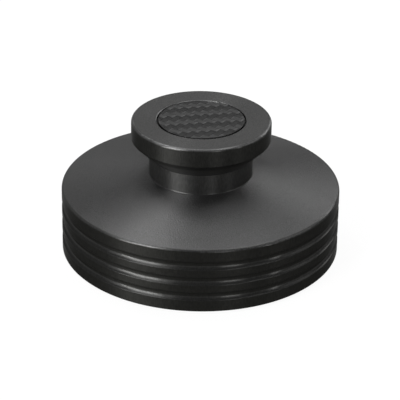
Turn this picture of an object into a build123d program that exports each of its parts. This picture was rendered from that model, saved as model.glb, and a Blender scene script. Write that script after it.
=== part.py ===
from build123d import *
import os
from math import cos, hypot, radians, sin, tan

os.makedirs("parts", exist_ok=True)

# Disc
disc_radius = 40.0
disc_height = 19.3
disc_top_rise = 4.15
disc_top_round = 0.8
disc_foot_chamfer = 0.4

# Rounded grooves in the disc's wall
groove_count = 3
groove_pitch = 4.77
groove_width = 2.6
groove_depth = 0.75
groove_lip_round = 0.15

# Neck and grip flange
neck_radius = 14.85
neck_height = 5.95
neck_foot_round = 0.35
flange_radius = 20.0
flange_height = 5.35
flange_under_angle = 45.0
flange_top_round = 0.8
flange_low_round = 0.3

# Inlay and its pocket
pocket_radius = 12.7
pocket_round = 0.35
inlay_gap = 0.45
inlay_thickness = 1.0

# Twill weave, where each float passes over a span of crossing tows
float_span = 2
tow_pitch = 1.89
tow_gap = 0.12
tow_relief = 0.1
tow_angle = -35.4
weave_shift_x = 0.44
weave_shift_y = 5.49
weave_edge_margin = 0.15
weave_smallest_float = 0.4

# Soft pad and its recess
pad_rim = 4.8
pad_gap = 0.2
pad_hole_radius = 9.0
pad_recess = 0.8
pad_proud = 0.4

# Spindle bore
bore_radius = 3.65
bore_depth = 16.0
bore_mouth_chamfer = 0.6
bore_point_angle = 118.0

# Levels, from the surface that the pad rests on
disc_base = pad_proud
disc_corner = disc_base + disc_height
neck_foot = disc_corner + disc_top_rise
neck_top = neck_foot + neck_height
flange_low = neck_top + (flange_radius - neck_radius) / tan(radians(flange_under_angle))
flange_top = flange_low + flange_height
pocket_floor = flange_top - inlay_thickness
bore_mouth = disc_base + pad_recess
bore_end = bore_mouth + bore_depth
bore_tip = bore_end + bore_radius / tan(radians(bore_point_angle / 2))

# Corners of the turned section, as radius and level
base_corner = (disc_radius, disc_base)
top_corner = (disc_radius, disc_corner)
foot_corner = (neck_radius, neck_foot)
neck_corner = (neck_radius, neck_top)
flange_low_corner = (flange_radius, flange_low)
flange_top_corner = (flange_radius, flange_top)

# Grooves spread evenly about the middle of the wall
groove_radius = (groove_width**2 / 4 + groove_depth**2) / (2 * groove_depth)
groove_centre = disc_radius - groove_depth + groove_radius
groove_middle = disc_base + disc_height / 2
groove_levels = [groove_middle + (i - (groove_count - 1) / 2) * groove_pitch for i in range(groove_count)]
groove_lips = [(disc_radius, level + side * groove_width / 2) for level in groove_levels for side in (-1, 1)]

# Turned body
with BuildPart() as weight_body:
    with BuildSketch(Plane.XZ) as section:
        with BuildLine():
            Polyline(
                (0, disc_base),
                base_corner,
                top_corner,
                foot_corner,
                neck_corner,
                flange_low_corner,
                flange_top_corner,
                (0, flange_top),
                close=True,
            )
        make_face()
        with Locations(*[(groove_centre, level) for level in groove_levels]):
            Circle(groove_radius, mode=Mode.SUBTRACT)
        fillet([section.vertices().sort_by_distance(lip)[0] for lip in groove_lips], groove_lip_round)
        chamfer(section.vertices().sort_by_distance(base_corner)[0], disc_foot_chamfer)
        fillet(section.vertices().sort_by_distance(top_corner)[0], disc_top_round)
        fillet(section.vertices().sort_by_distance(foot_corner)[0], neck_foot_round)
        fillet(section.vertices().sort_by_distance(flange_low_corner)[0], flange_low_round)
        fillet(section.vertices().sort_by_distance(flange_top_corner)[0], flange_top_round)
    revolve(axis=Axis.Z)

    # Pocket for the inlay, with a rounded rim
    with BuildSketch(Plane.XY.offset(pocket_floor)):
        Circle(pocket_radius)
    extrude(amount=flange_top - pocket_floor, mode=Mode.SUBTRACT)
    fillet(weight_body.edges().sort_by_distance((pocket_radius, 0, flange_top))[0], pocket_round)

    # Recess for the pad
    with BuildSketch(Plane.XY.offset(disc_base)):
        Circle(disc_radius - pad_rim)
    extrude(amount=pad_recess, mode=Mode.SUBTRACT)

    # Blind spindle bore with a drill point and an eased mouth
    with BuildSketch(Plane.XZ):
        with BuildLine():
            Polyline(
                (0, bore_mouth),
                (bore_radius + bore_mouth_chamfer, bore_mouth),
                (bore_radius, bore_mouth + bore_mouth_chamfer),
                (bore_radius, bore_end),
                (0, bore_tip),
                close=True,
            )
        make_face()
    revolve(axis=Axis.Z, mode=Mode.SUBTRACT)

weight_body.part.label = "weight_body"
export_step(weight_body.part, "parts/weight_body.step")

# Weave sizes, with the plate's axes turned so that x runs along one set of tows
inlay_radius = pocket_radius - inlay_gap
weave_radius = inlay_radius - weave_edge_margin
weave_base = pocket_floor + inlay_thickness - tow_relief
weave_x_dir = (cos(radians(tow_angle)), sin(radians(tow_angle)), 0)
weave_repeat = 2 * float_span
weave_reach = int(inlay_radius / tow_pitch) + weave_repeat
float_length = float_span * tow_pitch - tow_gap
float_width = tow_pitch - tow_gap


# Middles of the floats on one set of tows, stepped by one tow from each tow to the next
def float_middles(first_step, runs_along_x):
    middles = []
    for tow in range(-weave_reach, weave_reach):
        for repeat in range(-weave_reach, weave_reach):
            along = (tow + first_step + repeat * weave_repeat) * tow_pitch
            across = (tow + 1 / 2) * tow_pitch
            x, y = (along, across) if runs_along_x else (across, along)
            middle = (x + weave_shift_x, y + weave_shift_y)
            if hypot(*middle) < weave_radius + float_length / 2:
                middles.append(middle)
    return middles


# Woven carbon plate, its floats raised in low relief
with BuildPart() as carbon_inlay:
    with BuildSketch(Plane.XY.offset(pocket_floor)):
        Circle(inlay_radius)
    extrude(amount=inlay_thickness - tow_relief)
    weave_plane = Plane(origin=(0, 0, weave_base), x_dir=weave_x_dir, z_dir=(0, 0, 1))
    with BuildSketch(weave_plane, mode=Mode.PRIVATE) as floats:
        with Locations(*float_middles(1 - float_span / 2, True)):
            Rectangle(float_length, float_width)
        with Locations(*float_middles(3 * float_span / 2, False)):
            Rectangle(float_width, float_length)
        Circle(weave_radius, mode=Mode.INTERSECT)
    extrude(floats.sketch.faces().filter_by(lambda face: face.area > weave_smallest_float), amount=tow_relief)

carbon_inlay.part.label = "carbon_inlay"
export_step(carbon_inlay.part, "parts/carbon_inlay.step")

# Soft pad, standing a little proud of the disc's underside
with BuildPart() as base_pad:
    with BuildSketch(Plane.XY):
        Circle(disc_radius - pad_rim - pad_gap)
        Circle(pad_hole_radius, mode=Mode.SUBTRACT)
    extrude(amount=pad_proud + pad_recess)

base_pad.part.label = "base_pad"
export_step(base_pad.part, "parts/base_pad.step")
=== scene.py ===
import math

import bmesh
import bpy
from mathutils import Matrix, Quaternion, Vector, noise


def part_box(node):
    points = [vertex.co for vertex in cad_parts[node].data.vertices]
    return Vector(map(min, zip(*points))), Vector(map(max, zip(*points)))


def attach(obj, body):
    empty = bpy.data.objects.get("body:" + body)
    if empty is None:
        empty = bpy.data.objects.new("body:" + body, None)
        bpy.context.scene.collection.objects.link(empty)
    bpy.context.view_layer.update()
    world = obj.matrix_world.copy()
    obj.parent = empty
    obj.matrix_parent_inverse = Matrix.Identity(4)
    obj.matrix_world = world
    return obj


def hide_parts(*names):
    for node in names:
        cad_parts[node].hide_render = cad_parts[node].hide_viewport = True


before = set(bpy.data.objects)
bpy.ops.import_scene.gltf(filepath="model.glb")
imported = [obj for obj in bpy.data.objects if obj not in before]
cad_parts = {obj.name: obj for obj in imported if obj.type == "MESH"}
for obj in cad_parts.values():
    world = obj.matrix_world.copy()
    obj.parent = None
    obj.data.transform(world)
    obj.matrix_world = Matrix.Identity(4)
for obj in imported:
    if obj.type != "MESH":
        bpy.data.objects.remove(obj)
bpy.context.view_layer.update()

mm = 0.001
print("frame loaded:", ", ".join(sorted(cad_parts)))


# small helpers for objects and node trees

def addObject(name, data):
    item = bpy.data.objects.new(name, data)
    bpy.context.scene.collection.objects.link(item)
    return item


def addNode(tree, kind, **settings):
    node = tree.nodes.new(kind)
    for name, value in settings.items():
        setattr(node, name, value)
    return node


def setInputs(node, values):
    for name, value in values.items():
        node.inputs[name].default_value = value
    return node


def feed(tree, socket, value):
    # the value is another node's socket, or a plain number or colour
    if isinstance(value, bpy.types.NodeSocket):
        tree.links.new(value, socket)
    else:
        socket.default_value = value


def grey(level):
    return (level, level, level, 1)


def startMaterial(name):
    material = bpy.data.materials.new(name)
    material.use_nodes = True
    tree = material.node_tree
    tree.nodes.clear()
    shader = addNode(tree, "ShaderNodeBsdfPrincipled")
    output = addNode(tree, "ShaderNodeOutputMaterial")
    tree.links.new(shader.outputs["BSDF"], output.inputs["Surface"])
    return material, tree, shader


def mathNode(tree, operation, first, second=0.0):
    node = addNode(tree, "ShaderNodeMath", operation=operation)
    feed(tree, node.inputs[0], first)
    feed(tree, node.inputs[1], second)
    return node.outputs["Value"]


def scaleVector(tree, vector, scale):
    node = addNode(tree, "ShaderNodeVectorMath", operation="MULTIPLY")
    feed(tree, node.inputs[0], vector)
    feed(tree, node.inputs[1], scale)
    return node.outputs["Vector"]


def splitVector(tree, vector):
    node = addNode(tree, "ShaderNodeSeparateXYZ")
    tree.links.new(vector, node.inputs["Vector"])
    return node.outputs


# a Mix node has sockets of one name for each kind of value, so its colour sockets go by number
mixSockets = {"first": 6, "second": 7, "result": 2}


def mixColours(tree, factor, first, second, blend="MIX"):
    node = addNode(tree, "ShaderNodeMix", data_type="RGBA", blend_type=blend)
    feed(tree, node.inputs["Factor"], factor)
    feed(tree, node.inputs[mixSockets["first"]], first)
    feed(tree, node.inputs[mixSockets["second"]], second)
    return node.outputs[mixSockets["result"]]


def addRamp(tree, factor, places, levels):
    ramp = addNode(tree, "ShaderNodeValToRGB")
    elements = ramp.color_ramp.elements
    while len(elements) < len(places):
        elements.new(0.5)  # gets its own place below
    for element, place, level in zip(elements, places, levels):
        element.position, element.color = place, grey(level)
    tree.links.new(factor, ramp.inputs["Fac"])
    return ramp.outputs["Color"]


def addBump(tree, height, shader, strength, distance, before=None):
    bump = addNode(tree, "ShaderNodeBump")
    setInputs(bump, {"Strength": strength, "Distance": distance})
    tree.links.new(height, bump.inputs["Height"])
    if before is not None:
        tree.links.new(before.outputs["Normal"], bump.inputs["Normal"])
    tree.links.new(bump.outputs["Normal"], shader.inputs["Normal"])
    return bump


# shared surface effects
effects = {
    "toneSpread": (0.3, 0.7),  # the part of a noise that runs from the dark tone to the light one
    "noiseMiddle": 0.5,
    "grainScale": 4000.0,      # unless a material gives its own
    "grainDetail": 1.0,
    "grainRoughness": 0.5,
    "fibreDetail": 2.0,
    "fibreRoughness": 0.7,
    "towMiddle": 0.5,
    # from plain to full tone: along a float to its two ends, and from a tow's middle to its sides
    "floatSpans": {"Foot": (0.30, 0.0), "Head": (0.70, 0.95), "Seam": (0.36, 0.5)},
}


def startGroup(name, inputs, outputs):
    group = bpy.data.node_groups.new(name, "ShaderNodeTree")
    for socketName, socketType, default in inputs:
        socket = group.interface.new_socket(socketName, in_out="INPUT", socket_type=socketType)
        if default is not None:
            socket.default_value = default
    for socketName, socketType in outputs:
        group.interface.new_socket(socketName, in_out="OUTPUT", socket_type=socketType)
    return group, addNode(group, "NodeGroupInput"), addNode(group, "NodeGroupOutput")


def placeGroup(tree, group):
    return addNode(tree, "ShaderNodeGroup", node_tree=group)


def spreadTones(group, source, pattern):
    # a tint between the group's two tones
    low, high = effects["toneSpread"]
    spread = setInputs(addNode(group, "ShaderNodeMapRange"), {"From Min": low, "From Max": high})
    group.links.new(pattern, spread.inputs["Value"])
    tones = source.outputs["Dark"], source.outputs["Light"]
    return mixColours(group, spread.outputs["Result"], *tones)


def makeSpeckle():
    # fine grain in a tint between two tones, with a height for bump
    group, source, sink = startGroup(
        "speckle",
        [("Vector", "NodeSocketVector", None),
         ("Grain Scale", "NodeSocketFloat", effects["grainScale"]),
         ("Dark", "NodeSocketColor", grey(0.0)), ("Light", "NodeSocketColor", grey(1.0))],
        [("Color", "NodeSocketColor"), ("Height", "NodeSocketFloat")])
    links = group.links
    grain = addNode(group, "ShaderNodeTexNoise")
    setInputs(grain, {"Detail": effects["grainDetail"], "Roughness": effects["grainRoughness"]})
    links.new(source.outputs["Vector"], grain.inputs["Vector"])
    links.new(source.outputs["Grain Scale"], grain.inputs["Scale"])
    pattern = grain.outputs["Fac"]
    links.new(spreadTones(group, source, pattern), sink.inputs["Color"])
    links.new(pattern, sink.inputs["Height"])
    return group


def makeFibres():
    # fine lines along one direction of the tow map, toned along and across each float, with
    # painted highlight and shade at the floats' ends
    group, source, sink = startGroup(
        "fibres",
        [("Vector", "NodeSocketVector", None), ("Stretch", "NodeSocketVector", (1.0, 1.0, 1.0)),
         ("Float", "NodeSocketVector", None), ("Foot", "NodeSocketFloat", 0.0),
         ("Head", "NodeSocketFloat", 0.0), ("Seam", "NodeSocketFloat", 0.0),
         ("Dark", "NodeSocketColor", grey(0.0)), ("Light", "NodeSocketColor", grey(1.0))],
        [("Color", "NodeSocketColor"), ("Height", "NodeSocketFloat")])
    links = group.links
    lines = addNode(group, "ShaderNodeTexNoise")
    setInputs(lines, {"Scale": 1.0, "Detail": effects["fibreDetail"],
                      "Roughness": effects["fibreRoughness"]})
    drawn = scaleVector(group, source.outputs["Vector"], source.outputs["Stretch"])
    links.new(drawn, lines.inputs["Vector"])
    pattern = lines.outputs["Fac"]

    spot = splitVector(group, source.outputs["Float"])
    side = mathNode(group, "SUBTRACT", spot["X"], effects["towMiddle"])
    places = {"Foot": spot["Y"], "Head": spot["Y"], "Seam": mathNode(group, "ABSOLUTE", side)}
    tone = 1.0
    for name, (start, end) in effects["floatSpans"].items():
        part = addNode(group, "ShaderNodeMapRange", interpolation_type="SMOOTHSTEP")
        setInputs(part, {"From Min": start, "From Max": end, "To Min": 0.0})
        links.new(places[name], part.inputs["Value"])
        links.new(source.outputs[name], part.inputs["To Max"])
        tone = mathNode(group, "ADD", tone, part.outputs["Result"])
    plain = spreadTones(group, source, pattern)
    links.new(mixColours(group, 1.0, plain, tone, "MULTIPLY"), sink.inputs["Color"])
    links.new(pattern, sink.inputs["Height"])
    return group


speckle = makeSpeckle()
fibres = makeFibres()


# turned body: black anodised, blasted satin over fine lathe lines
anodised = {
    "darkTone": 0.077,
    "lightTone": 0.113,
    "paintedShadeTint": (0.16, 0.16, 0.148, 1),  # painted shade colour, with a slight warm cast; the disc's rim takes all of it
    "slopeShade": 0.76,        # share of the painted shade that fillets and groove flanks take
    # shares of the painted shade on the neck, the flange and the level faces
    "neckShade": 0.75,
    "flangeShade": 0.95,
    "flatShade": 0.42,
    "rimTop": 20.0 * mm,
    "neckTop": 33.0 * mm,
    "highlightLows": (18.9 * mm, 39.4 * mm),  # above these the rounded edges get a painted highlight
    "edgeHighlight": (0.45, 1.0),
    "metallic": 0.8,
    "topMetallic": 1.0,
    "flatMetallic": 0.25,    # the level ring round the inlay is blasted matt
    "edgeTint": 0.5,         # how bright the gloss gets where light grazes
    "roughness": 0.45,
    "slopeRoughness": 0.28,  # fillets and groove flanks are burnished
    "flatRoughness": 0.65,
    "stretch": 0.85,
    "stretchTurn": 0.25,     # a quarter turn, so the gloss runs across the lathe lines
    "grainScale": 3200.0,
    "grainRise": 0.25,       # stretches the grain up the walls
    "grainStrength": 0.9,
    "grainDepth": 0.10 * mm,
    "wallGrain": 0.3,        # how much of it is left on walls and on burnished slopes
    "slopeGrain": 0.05,
    "lineScale": 5200.0,
    "lineDetail": 1.0,
    "lineStrength": 0.12,
    "lineDepth": 0.02 * mm,
    # slopes at which one finish, painted shade or painted highlight gives way to the next, from 0
    # on a wall to 1 on a level face
    "glossStops": (0.05, 0.20, 0.90, 0.97, 0.99, 0.998),
    "metalStops": (0.93, 0.975, 0.99, 0.998),
    "wallStops": (0.20, 0.40),
    "flankStops": (0.08, 0.20, 0.93, 0.975),
    "highlightStops": (0.40, 0.60),
    "levelStops": (0.99, 0.998),
}


# the base colour's share of painted shade, by slope and height, with the rounded top edges lifted
# as painted highlight
def paintedShadeShare(tree, slope, height):
    look = anodised
    onRim = mathNode(tree, "LESS_THAN", height, look["rimTop"])
    onFlange = mathNode(tree, "GREATER_THAN", height, look["neckTop"])
    flangeShare = mathNode(tree, "MULTIPLY", onFlange, look["flangeShade"])
    share = mathNode(tree, "MAXIMUM", onRim, flangeShare)
    share = mathNode(tree, "MAXIMUM", share, look["neckShade"])
    upright = addRamp(tree, slope, look["wallStops"], (1.0, 0.0))
    walls = mathNode(tree, "MULTIPLY", upright, share)

    # fillets and flanks lose their painted shade above set heights, a painted highlight on the
    # rounded edges
    brightened = 0.0
    for low, highlight in zip(look["highlightLows"], look["edgeHighlight"]):
        above = mathNode(tree, "GREATER_THAN", height, low)
        brightened = mathNode(tree, "MAXIMUM", brightened, mathNode(tree, "MULTIPLY", above, highlight))
    brightened = mathNode(tree, "MULTIPLY", brightened, addRamp(tree, slope, look["highlightStops"], (0.0, 1.0)))
    flank = look["slopeShade"]
    flanks = addRamp(tree, slope, look["flankStops"], (0.0, flank, flank, 0.0))
    flanks = mathNode(tree, "MULTIPLY", flanks, mathNode(tree, "SUBTRACT", 1.0, brightened))

    levelShade = addRamp(tree, slope, look["levelStops"], (0.0, look["flatShade"]))
    return mathNode(tree, "MAXIMUM", mathNode(tree, "MAXIMUM", walls, flanks), levelShade)


def latheLines(tree, spot):
    # the lines depend on radius and height alone
    flat = addNode(tree, "ShaderNodeCombineXYZ")
    for axis in "XY":
        tree.links.new(spot[axis], flat.inputs[axis])
    radius = addNode(tree, "ShaderNodeVectorMath", operation="LENGTH")
    tree.links.new(flat.outputs["Vector"], radius.inputs[0])
    section = addNode(tree, "ShaderNodeCombineXYZ")
    tree.links.new(radius.outputs["Value"], section.inputs["X"])
    tree.links.new(spot["Z"], section.inputs["Y"])
    lathe = addNode(tree, "ShaderNodeTexNoise")
    setInputs(lathe, {"Scale": anodised["lineScale"], "Detail": anodised["lineDetail"]})
    tree.links.new(section.outputs["Vector"], lathe.inputs["Vector"])
    return lathe.outputs["Fac"]


def makeAnodised():
    look = anodised
    material, tree, shader = startMaterial("blackAnodised")
    links = tree.links
    setInputs(shader, {
        "Specular IOR Level": 0.0,
        "Specular Tint": grey(look["edgeTint"]),
        "Anisotropic": look["stretch"],
        "Anisotropic Rotation": look["stretchTurn"],
    })
    tangent = addNode(tree, "ShaderNodeTangent", direction_type="RADIAL", axis="Z")
    links.new(tangent.outputs["Tangent"], shader.inputs["Tangent"])
    place = addNode(tree, "ShaderNodeTexCoord")
    spot = splitVector(tree, place.outputs["Object"])
    slope = splitVector(tree, place.outputs["Normal"])["Z"]

    grain = placeGroup(tree, speckle)
    setInputs(grain, {"Grain Scale": look["grainScale"],
                      "Dark": grey(look["darkTone"]), "Light": grey(look["lightTone"])})
    drawn = scaleVector(tree, place.outputs["Object"], (1.0, 1.0, look["grainRise"]))
    links.new(drawn, grain.inputs["Vector"])

    # roughness, metal and tone follow the slope, from the walls to the flat tops; the tone carries
    # painted shade
    rough, burnished = look["roughness"], look["slopeRoughness"]
    gloss = addRamp(tree, slope, look["glossStops"],
                    (rough, burnished, burnished, rough, rough, look["flatRoughness"]))
    links.new(gloss, shader.inputs["Roughness"])
    top = look["topMetallic"]
    bare = addRamp(tree, slope, look["metalStops"],
                   (look["metallic"], top, top, look["flatMetallic"]))
    links.new(bare, shader.inputs["Metallic"])
    # tone darkened by painted shade and lifted by painted highlight at the top edges
    shadeShare = paintedShadeShare(tree, slope, spot["Z"])
    tint = mixColours(tree, shadeShare, grain.outputs["Color"], look["paintedShadeTint"], "MULTIPLY")
    links.new(tint, shader.inputs["Base Color"])

    lines = latheLines(tree, spot)
    turned = addBump(tree, lines, shader, look["lineStrength"], look["lineDepth"])
    calm = look["slopeGrain"]
    keep = addRamp(tree, slope, look["flankStops"], (look["wallGrain"], calm, calm, 1.0))
    pits = mathNode(tree, "SUBTRACT", grain.outputs["Height"], effects["noiseMiddle"])
    pits = mathNode(tree, "MULTIPLY", pits, keep)
    addBump(tree, pits, shader, look["grainStrength"], look["grainDepth"], turned)
    return material


def dressNode(name, material):
    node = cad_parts[name]
    if not node.material_slots:
        node.data.materials.append(material)
    for slot in node.material_slots:
        slot.material = material


dressNode("weight_body", makeAnodised())
print("body dressed")


# carbon inlay: a 2 by 2 twill, each float crowned, in one closed laminate
weave = {
    "towPitch": 1.89 * mm,
    "towTurn": -35.4,        # degrees, direction of the pale tows
    "acrossPhase": 2.905,    # in tows from the middle
    "alongPhase": 0.235,
    "spareTows": 3,          # woven past the rim before the cut
    "crown": 0.10 * mm,
    "crossPower": 8.0,       # higher is flatter across a tow
    "sideShare": 0.10,       # how far a tow falls at its sides, of the crown
    "endFalls": (1.0, 0.3),  # of pale and dark tows, as shares of the crown
    "endPower": 4.0,         # higher dips later at a float's ends
    "rimHeight": 0.9,        # of the crown, round the cut edge
    "cellSteps": 16,
    "mergeGap": 0.0001 * mm,
}
carbon = {
    # the tows are one carbon: the gap between the pale and dark tones is painted light, over the
    # real turn of their gloss
    "paleTones": (0.060, 0.070),
    "darkTones": (0.042, 0.052),
    # tone gained at a float's ends and sides: painted highlight at the pale floats' ends, painted
    # shade at the dark floats' heads, and darker towards each tow's sides
    "paleFloat": {"Foot": 0.30, "Head": 0.25, "Seam": -0.45},
    "darkFloat": {"Foot": 0.0, "Head": -0.16, "Seam": -0.30},
    "paleTurn": 0.0,         # of the gloss, in full turns
    "darkTurn": 0.25,
    "metallic": 0.8,
    "edgeTint": 0.5,
    "roughness": 0.45,
    "stretch": 0.4,
    "lacquer": 0.03,
    "lacquerRoughness": 0.25,
    "fibrePitch": 0.11,      # in tows
    "fibreRun": 1.6,
    "fibreStrength": 0.25,
    "fibreDepth": 0.02 * mm,
    "cutTones": (0.003, 0.006),
    "cutGrain": 2500.0,
    "cutRoughness": 0.5,
    "cutGloss": 0.1,
}
floatCells = 2  # crossings that a float of this twill passes over
mapNames = "towMap", "floatMap"
palePlace, darkPlace, cutPlace = range(3)  # where the inlay's materials are in its list


def makeTow(kind, stretch):
    look = carbon
    material, tree, shader = startMaterial(kind + "Tow")
    links = tree.links
    setInputs(shader, {
        "Metallic": look["metallic"],
        "Specular IOR Level": 0.0,
        "Specular Tint": grey(look["edgeTint"]),
        "Roughness": look["roughness"],
        "Anisotropic": look["stretch"],
        "Anisotropic Rotation": look[kind + "Turn"],
        "Coat Weight": look["lacquer"],
        "Coat Roughness": look["lacquerRoughness"],
    })
    towMap, floatMap = (addNode(tree, "ShaderNodeUVMap", uv_map=name) for name in mapNames)
    tangent = addNode(tree, "ShaderNodeTangent", direction_type="UV_MAP", uv_map=towMap.uv_map)
    links.new(tangent.outputs["Tangent"], shader.inputs["Tangent"])
    lines = placeGroup(tree, fibres)
    dark, light = look[kind + "Tones"]
    setInputs(lines, {"Stretch": stretch, "Dark": grey(dark), "Light": grey(light)})
    setInputs(lines, look[kind + "Float"])
    links.new(towMap.outputs["UV"], lines.inputs["Vector"])
    links.new(floatMap.outputs["UV"], lines.inputs["Float"])
    links.new(lines.outputs["Color"], shader.inputs["Base Color"])
    addBump(tree, lines.outputs["Height"], shader, look["fibreStrength"], look["fibreDepth"])
    return material


def makeLaminateEdge():
    material, tree, shader = startMaterial("laminateEdge")
    setInputs(shader, {"Roughness": carbon["cutRoughness"],
                       "Specular IOR Level": carbon["cutGloss"]})
    place = addNode(tree, "ShaderNodeTexCoord")
    grain = placeGroup(tree, speckle)
    dark, light = carbon["cutTones"]
    setInputs(grain, {"Grain Scale": carbon["cutGrain"], "Dark": grey(dark), "Light": grey(light)})
    tree.links.new(place.outputs["Object"], grain.inputs["Vector"])
    tree.links.new(grain.outputs["Color"], shader.inputs["Base Color"])
    return material


def floatPlace(across, along, column, row):
    # place on the float that shows in a cell: across it, along it, and its material's place
    step = (column - row) % (2 * floatCells)
    if step < floatCells:
        return across - column, along - row + floatCells - 1 - step, palePlace
    return along - row, across - column + step - floatCells, darkPlace


def floatHeight(across, along):
    # across and along are places in tows; 1 is the top of a float
    side, run, kind = floatPlace(across, along, math.floor(across), math.floor(along))
    ends = 1 - weave["endFalls"][kind] * abs(run - floatCells / 2) ** weave["endPower"]
    sides = 1 - weave["sideShare"] * abs(2 * side - 1) ** weave["crossPower"]
    return ends * sides


def weaveTop(shape, centre, radius, topLevel):
    pitch, steps = weave["towPitch"], weave["cellSteps"]
    turn = math.radians(weave["towTurn"])
    alongAxis = Vector((math.cos(turn), math.sin(turn)))
    acrossAxis = Vector((-math.sin(turn), math.cos(turn)))
    for name in mapNames:
        shape.loops.layers.uv.new(name)
    towMap, floatMap = (shape.loops.layers.uv[name] for name in mapNames)
    points = {}

    def planePoint(a, b):
        across = acrossAxis * ((a + weave["acrossPhase"]) * pitch)
        return across + alongAxis * ((b + weave["alongPhase"]) * pitch)

    def vertexAt(i, j):
        if (i, j) not in points:
            flat = planePoint(i / steps, j / steps)
            if flat.length > radius:
                flat, height = flat * (radius / flat.length), weave["rimHeight"]
            else:
                height = floatHeight(i / steps, j / steps)
            z = topLevel + weave["crown"] * height
            points[i, j] = shape.verts.new((centre.x + flat.x, centre.y + flat.y, z))
        return points[i, j]

    reach = math.ceil(radius / pitch) + weave["spareTows"]
    startAcross = -reach - math.floor(weave["acrossPhase"])
    startAlong = -reach - math.floor(weave["alongPhase"])
    for i in range(startAcross * steps, (startAcross + 2 * reach) * steps):
        for j in range(startAlong * steps, (startAlong + 2 * reach) * steps):
            corners = [(i, j), (i + 1, j), (i + 1, j + 1), (i, j + 1)]
            if all(planePoint(a / steps, b / steps).length >= radius for a, b in corners):
                continue
            face = shape.faces.new([vertexAt(*corner) for corner in corners])
            face.smooth = True
            for loop, (a, b) in zip(face.loops, corners):
                side, run, kind = floatPlace(a / steps, b / steps, i // steps, j // steps)
                loop[towMap].uv = (a / steps, b / steps)
                loop[floatMap].uv = (side, run / floatCells)
            face.material_index = kind
    bmesh.ops.dissolve_degenerate(shape, dist=weave["mergeGap"], edges=shape.edges)


def closeLaminate(shape, bottom):
    # side wall and underside, made in the rim's own order so that every run gives the same mesh
    after = {}
    for edge in shape.edges:
        if edge.is_boundary:
            loop = edge.link_loops[0]
            after[loop.vert] = loop.link_loop_next.vert
    rim = [max(after, key=lambda vert: vert.co.xy.to_tuple())]
    while after[rim[-1]] != rim[0]:
        rim.append(after[rim[-1]])
    lower = [shape.verts.new((vert.co.x, vert.co.y, bottom)) for vert in rim]
    for k, vert in enumerate(rim):
        face = shape.faces.new((vert, rim[k - 1], lower[k - 1], lower[k]))
        face.smooth, face.material_index = True, cutPlace
    shape.faces.new(reversed(lower)).material_index = cutPlace
    bmesh.ops.recalc_face_normals(shape, faces=shape.faces)


def makeInlay():
    low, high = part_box("carbon_inlay")
    shape = bmesh.new()
    weaveTop(shape, (low + high) / 2, (high.x - low.x) / 2, high.z - weave["crown"])
    closeLaminate(shape, low.z)
    mesh = bpy.data.meshes.new("carbonInlay")
    shape.to_mesh(mesh)
    shape.free()

    fine, long = 1 / carbon["fibrePitch"], 1 / carbon["fibreRun"]
    mesh.materials.append(makeTow("pale", (fine, long, 1.0)))
    mesh.materials.append(makeTow("dark", (long, fine, 1.0)))
    mesh.materials.append(makeLaminateEdge())
    piece = addObject("carbonInlay", mesh)
    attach(piece, "root")
    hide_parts("carbon_inlay")
    print("inlay woven:", len(mesh.polygons), "faces")


makeInlay()


# felt pad: a soft-edged ring under the disc
felt = {
    "holeRadius": 9.0 * mm,
    "edgeRound": 0.3 * mm,
    "turnSteps": 256,
    "ringSteps": 40,
    "roundSteps": 4,
    "fuzz": 0.04 * mm,
    "fuzzSize": 900.0,
    "fuzzReach": 0.6 * mm,   # how far up from the underside
    "darkTone": 0.014,
    "lightTone": 0.045,
    "grainScale": 2600.0,
    "bumpStrength": 0.8,
    "bumpDepth": 0.15 * mm,
    "roughness": 0.95,
    "gloss": 0.2,
    "sheen": 0.3,
    "sheenRoughness": 0.5,
}


def makeFelt():
    look = felt
    material, tree, shader = startMaterial("blackFelt")
    links = tree.links
    setInputs(shader, {"Roughness": look["roughness"], "Specular IOR Level": look["gloss"],
                       "Sheen Weight": look["sheen"], "Sheen Roughness": look["sheenRoughness"]})
    place = addNode(tree, "ShaderNodeTexCoord")
    nap = placeGroup(tree, speckle)
    setInputs(nap, {"Grain Scale": look["grainScale"],
                    "Dark": grey(look["darkTone"]), "Light": grey(look["lightTone"])})
    links.new(place.outputs["Object"], nap.inputs["Vector"])
    links.new(nap.outputs["Color"], shader.inputs["Base Color"])
    addBump(tree, nap.outputs["Height"], shader, look["bumpStrength"], look["bumpDepth"])
    return material


def padSection(inner, outer, bottom, top):
    # closed outline from the top inside edge, down, along the underside and up
    bend, count, steps = felt["edgeRound"], felt["roundSteps"], felt["ringSteps"]
    angles = [math.pi / 2 * k / count for k in range(count + 1)]
    outline = [(inner, top)]
    for angle in angles:
        drop = bend * math.sin(angle)
        outline.append((inner + bend - bend * math.cos(angle), bottom + bend - drop))
    for k in range(1, steps):
        outline.append((inner + bend + (outer - inner - 2 * bend) * k / steps, bottom))
    for angle in angles:
        drop = bend * math.cos(angle)
        outline.append((outer - bend + bend * math.sin(angle), bottom + bend - drop))
    outline.append((outer, top))
    return outline


def makePad():
    low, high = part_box("base_pad")
    outline = padSection(felt["holeRadius"], (high.x - low.x) / 2, low.z, high.z)
    turns, count = felt["turnSteps"], len(outline)
    verts, faces = [], []
    for k in range(turns):
        angle = 2 * math.pi * k / turns
        for r, z in outline:
            spot = Vector((r * math.cos(angle), r * math.sin(angle), z))
            lift = (noise.noise(spot * felt["fuzzSize"]) + 1) / 2 * felt["fuzz"]
            fuzzy = z < low.z + felt["fuzzReach"]
            verts.append((spot.x, spot.y, z + (lift if fuzzy else 0)))
    for k in range(turns):
        here, there = k * count, (k + 1) % turns * count
        for n in range(count):
            m = (n + 1) % count
            faces.append((here + n, here + m, there + m, there + n))
    mesh = bpy.data.meshes.new("feltPad")
    mesh.from_pydata(verts, [], faces)
    mesh.shade_smooth()
    mesh.materials.append(makeFelt())
    piece = addObject("feltPad", mesh)
    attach(piece, "root")
    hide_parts("base_pad")
    print("pad made:", len(mesh.polygons), "faces")


makePad()


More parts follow.
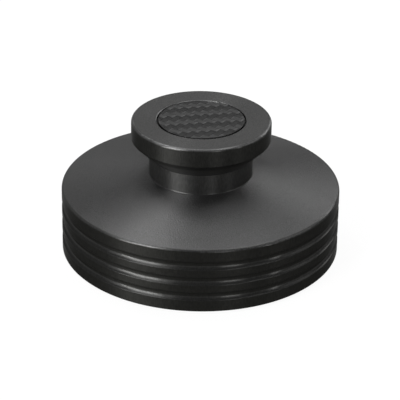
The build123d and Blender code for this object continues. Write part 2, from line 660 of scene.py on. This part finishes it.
# floor and sky
stage = {
    "floorSize": 4.0,
    "floorDrop": 0.02 * mm,
    "floorTone": 0.07,
    "floorRoughness": 0.9,
    "floorGlow": 0.93,       # what camera and gloss see besides the lamp light
    "skyTone": 0.20,
}


def makeFloor():
    material, tree, shader = startMaterial("paleFloor")
    links = tree.links
    setInputs(shader, {"Base Color": grey(stage["floorTone"]), "Specular IOR Level": 0.0,
                       "Roughness": stage["floorRoughness"], "Emission Color": grey(1.0)})
    path = addNode(tree, "ShaderNodeLightPath").outputs
    seen = mathNode(tree, "MAXIMUM", path["Is Camera Ray"], path["Is Glossy Ray"])
    seen = mathNode(tree, "MAXIMUM", seen, path["Is Transmission Ray"])
    glow = mathNode(tree, "MULTIPLY", seen, stage["floorGlow"])
    links.new(glow, shader.inputs["Emission Strength"])
    # the floor lets the underside be seen from below
    side = addNode(tree, "ShaderNodeNewGeometry")
    clear = addNode(tree, "ShaderNodeBsdfTransparent")
    mix = addNode(tree, "ShaderNodeMixShader")
    links.new(side.outputs["Backfacing"], mix.inputs["Fac"])
    links.new(shader.outputs["BSDF"], mix.inputs[1])
    links.new(clear.outputs["BSDF"], mix.inputs[2])
    output = next(node for node in tree.nodes if node.type == "OUTPUT_MATERIAL")
    links.new(mix.outputs["Shader"], output.inputs["Surface"])

    mesh = bpy.data.meshes.new("floor")
    half, z = stage["floorSize"] / 2, -stage["floorDrop"]
    corners = [(-half, -half, z), (half, -half, z), (half, half, z), (-half, half, z)]
    mesh.from_pydata(corners, [], [(0, 1, 2, 3)])
    mesh.materials.append(material)
    floor = addObject("floor", mesh)


def makeSky():
    world = bpy.data.worlds.new("studio")
    world.use_nodes = True
    background = next(node for node in world.node_tree.nodes if node.type == "BACKGROUND")
    setInputs(background, {"Color": grey(stage["skyTone"]), "Strength": 1.0})
    bpy.context.scene.world = world


# lamps: azimuth from the front towards the right and elevation above the floor, in degrees,
# then distance, width and height in metres, and the glow of the lamp's face, where 1 is white
lamps = {
    "overheadBox": (180, 70, 0.75, 0.55, 0.24, 2.7),
    "zenithBox": (180, 87, 0.75, 0.40, 0.20, 2.2),
    "leftTopBox": (-132, 62, 0.80, 0.24, 0.24, 5.8),
    "middleBox": (180, 47, 0.85, 0.46, 0.16, 2.8),
    "backBox": (155, 24, 0.90, 0.26, 0.46, 4.3),
    "leftBackBox": (-158, 25, 0.90, 0.26, 0.30, 1.7),
    "keyHigh": (-50, 50, 0.80, 0.34, 0.28, 4.0),
    "keyBox": (-44, 20, 0.80, 0.30, 0.28, 17.0),
    "keyWing": (-48, 20, 0.80, 0.80, 0.40, 2.2),
    "keyFoot": (-57, 4, 0.80, 0.14, 0.18, 28.0),
    "frontSpot": (24, 8, 0.90, 0.22, 0.24, 7.5),
    "rightStrip": (61, 10, 0.90, 0.07, 0.36, 8.5),
    "rimStrip": (130, 26, 0.90, 0.30, 0.28, 4.3),
    "rightWing": (92, 30, 0.90, 0.50, 0.30, 1.6),
    "rightTop": (93, 69, 0.80, 0.26, 0.26, 3.5),
}


def towards(azimuth, elevation):
    a, e = math.radians(azimuth), math.radians(elevation)
    return Vector((math.sin(a) * math.cos(e), -math.cos(a) * math.cos(e), math.sin(e)))


def makeLamps(aim):
    for name, (azimuth, elevation, distance, width, height, glow) in lamps.items():
        data = bpy.data.lights.new(name, "AREA")
        data.shape = "RECTANGLE"
        data.size, data.size_y = width, height
        data.energy = math.pi * width * height * glow
        light = addObject(name, data)
        back = towards(azimuth, elevation)
        light.location = aim + back * distance
        light.rotation_mode = "QUATERNION"
        light.rotation_quaternion = back.to_track_quat("Z", "Y")
        light.visible_camera = False


# the photograph's viewpoint
viewpoint = {
    "elevation": 27.441,
    "distance": 627.772 * mm,
    "aim": (-0.117 * mm, 0.0, 14.521 * mm),
    "roll": 0.74,
    "sensor": 36.0,
    "lens": 195.34,
    "clip": (0.01, 20),      # nearest and farthest that it sees, in metres
}


def makeCamera():
    data = bpy.data.cameras.new("camera")
    data.sensor_width, data.lens = viewpoint["sensor"], viewpoint["lens"]
    data.clip_start, data.clip_end = viewpoint["clip"]
    camera = addObject("camera", data)
    back = towards(0, viewpoint["elevation"])
    camera.location = Vector(viewpoint["aim"]) + back * viewpoint["distance"]
    camera.rotation_mode = "QUATERNION"
    roll = Quaternion((0, 0, 1), math.radians(viewpoint["roll"]))
    camera.rotation_quaternion = (-back).to_track_quat("-Z", "Y") @ roll
    bpy.context.scene.camera = camera


makeFloor()
makeSky()
makeLamps(Vector(viewpoint["aim"]))
makeCamera()
bpy.context.scene.view_settings.view_transform = "Standard"
print("stage set:", len(lamps), "lamps")
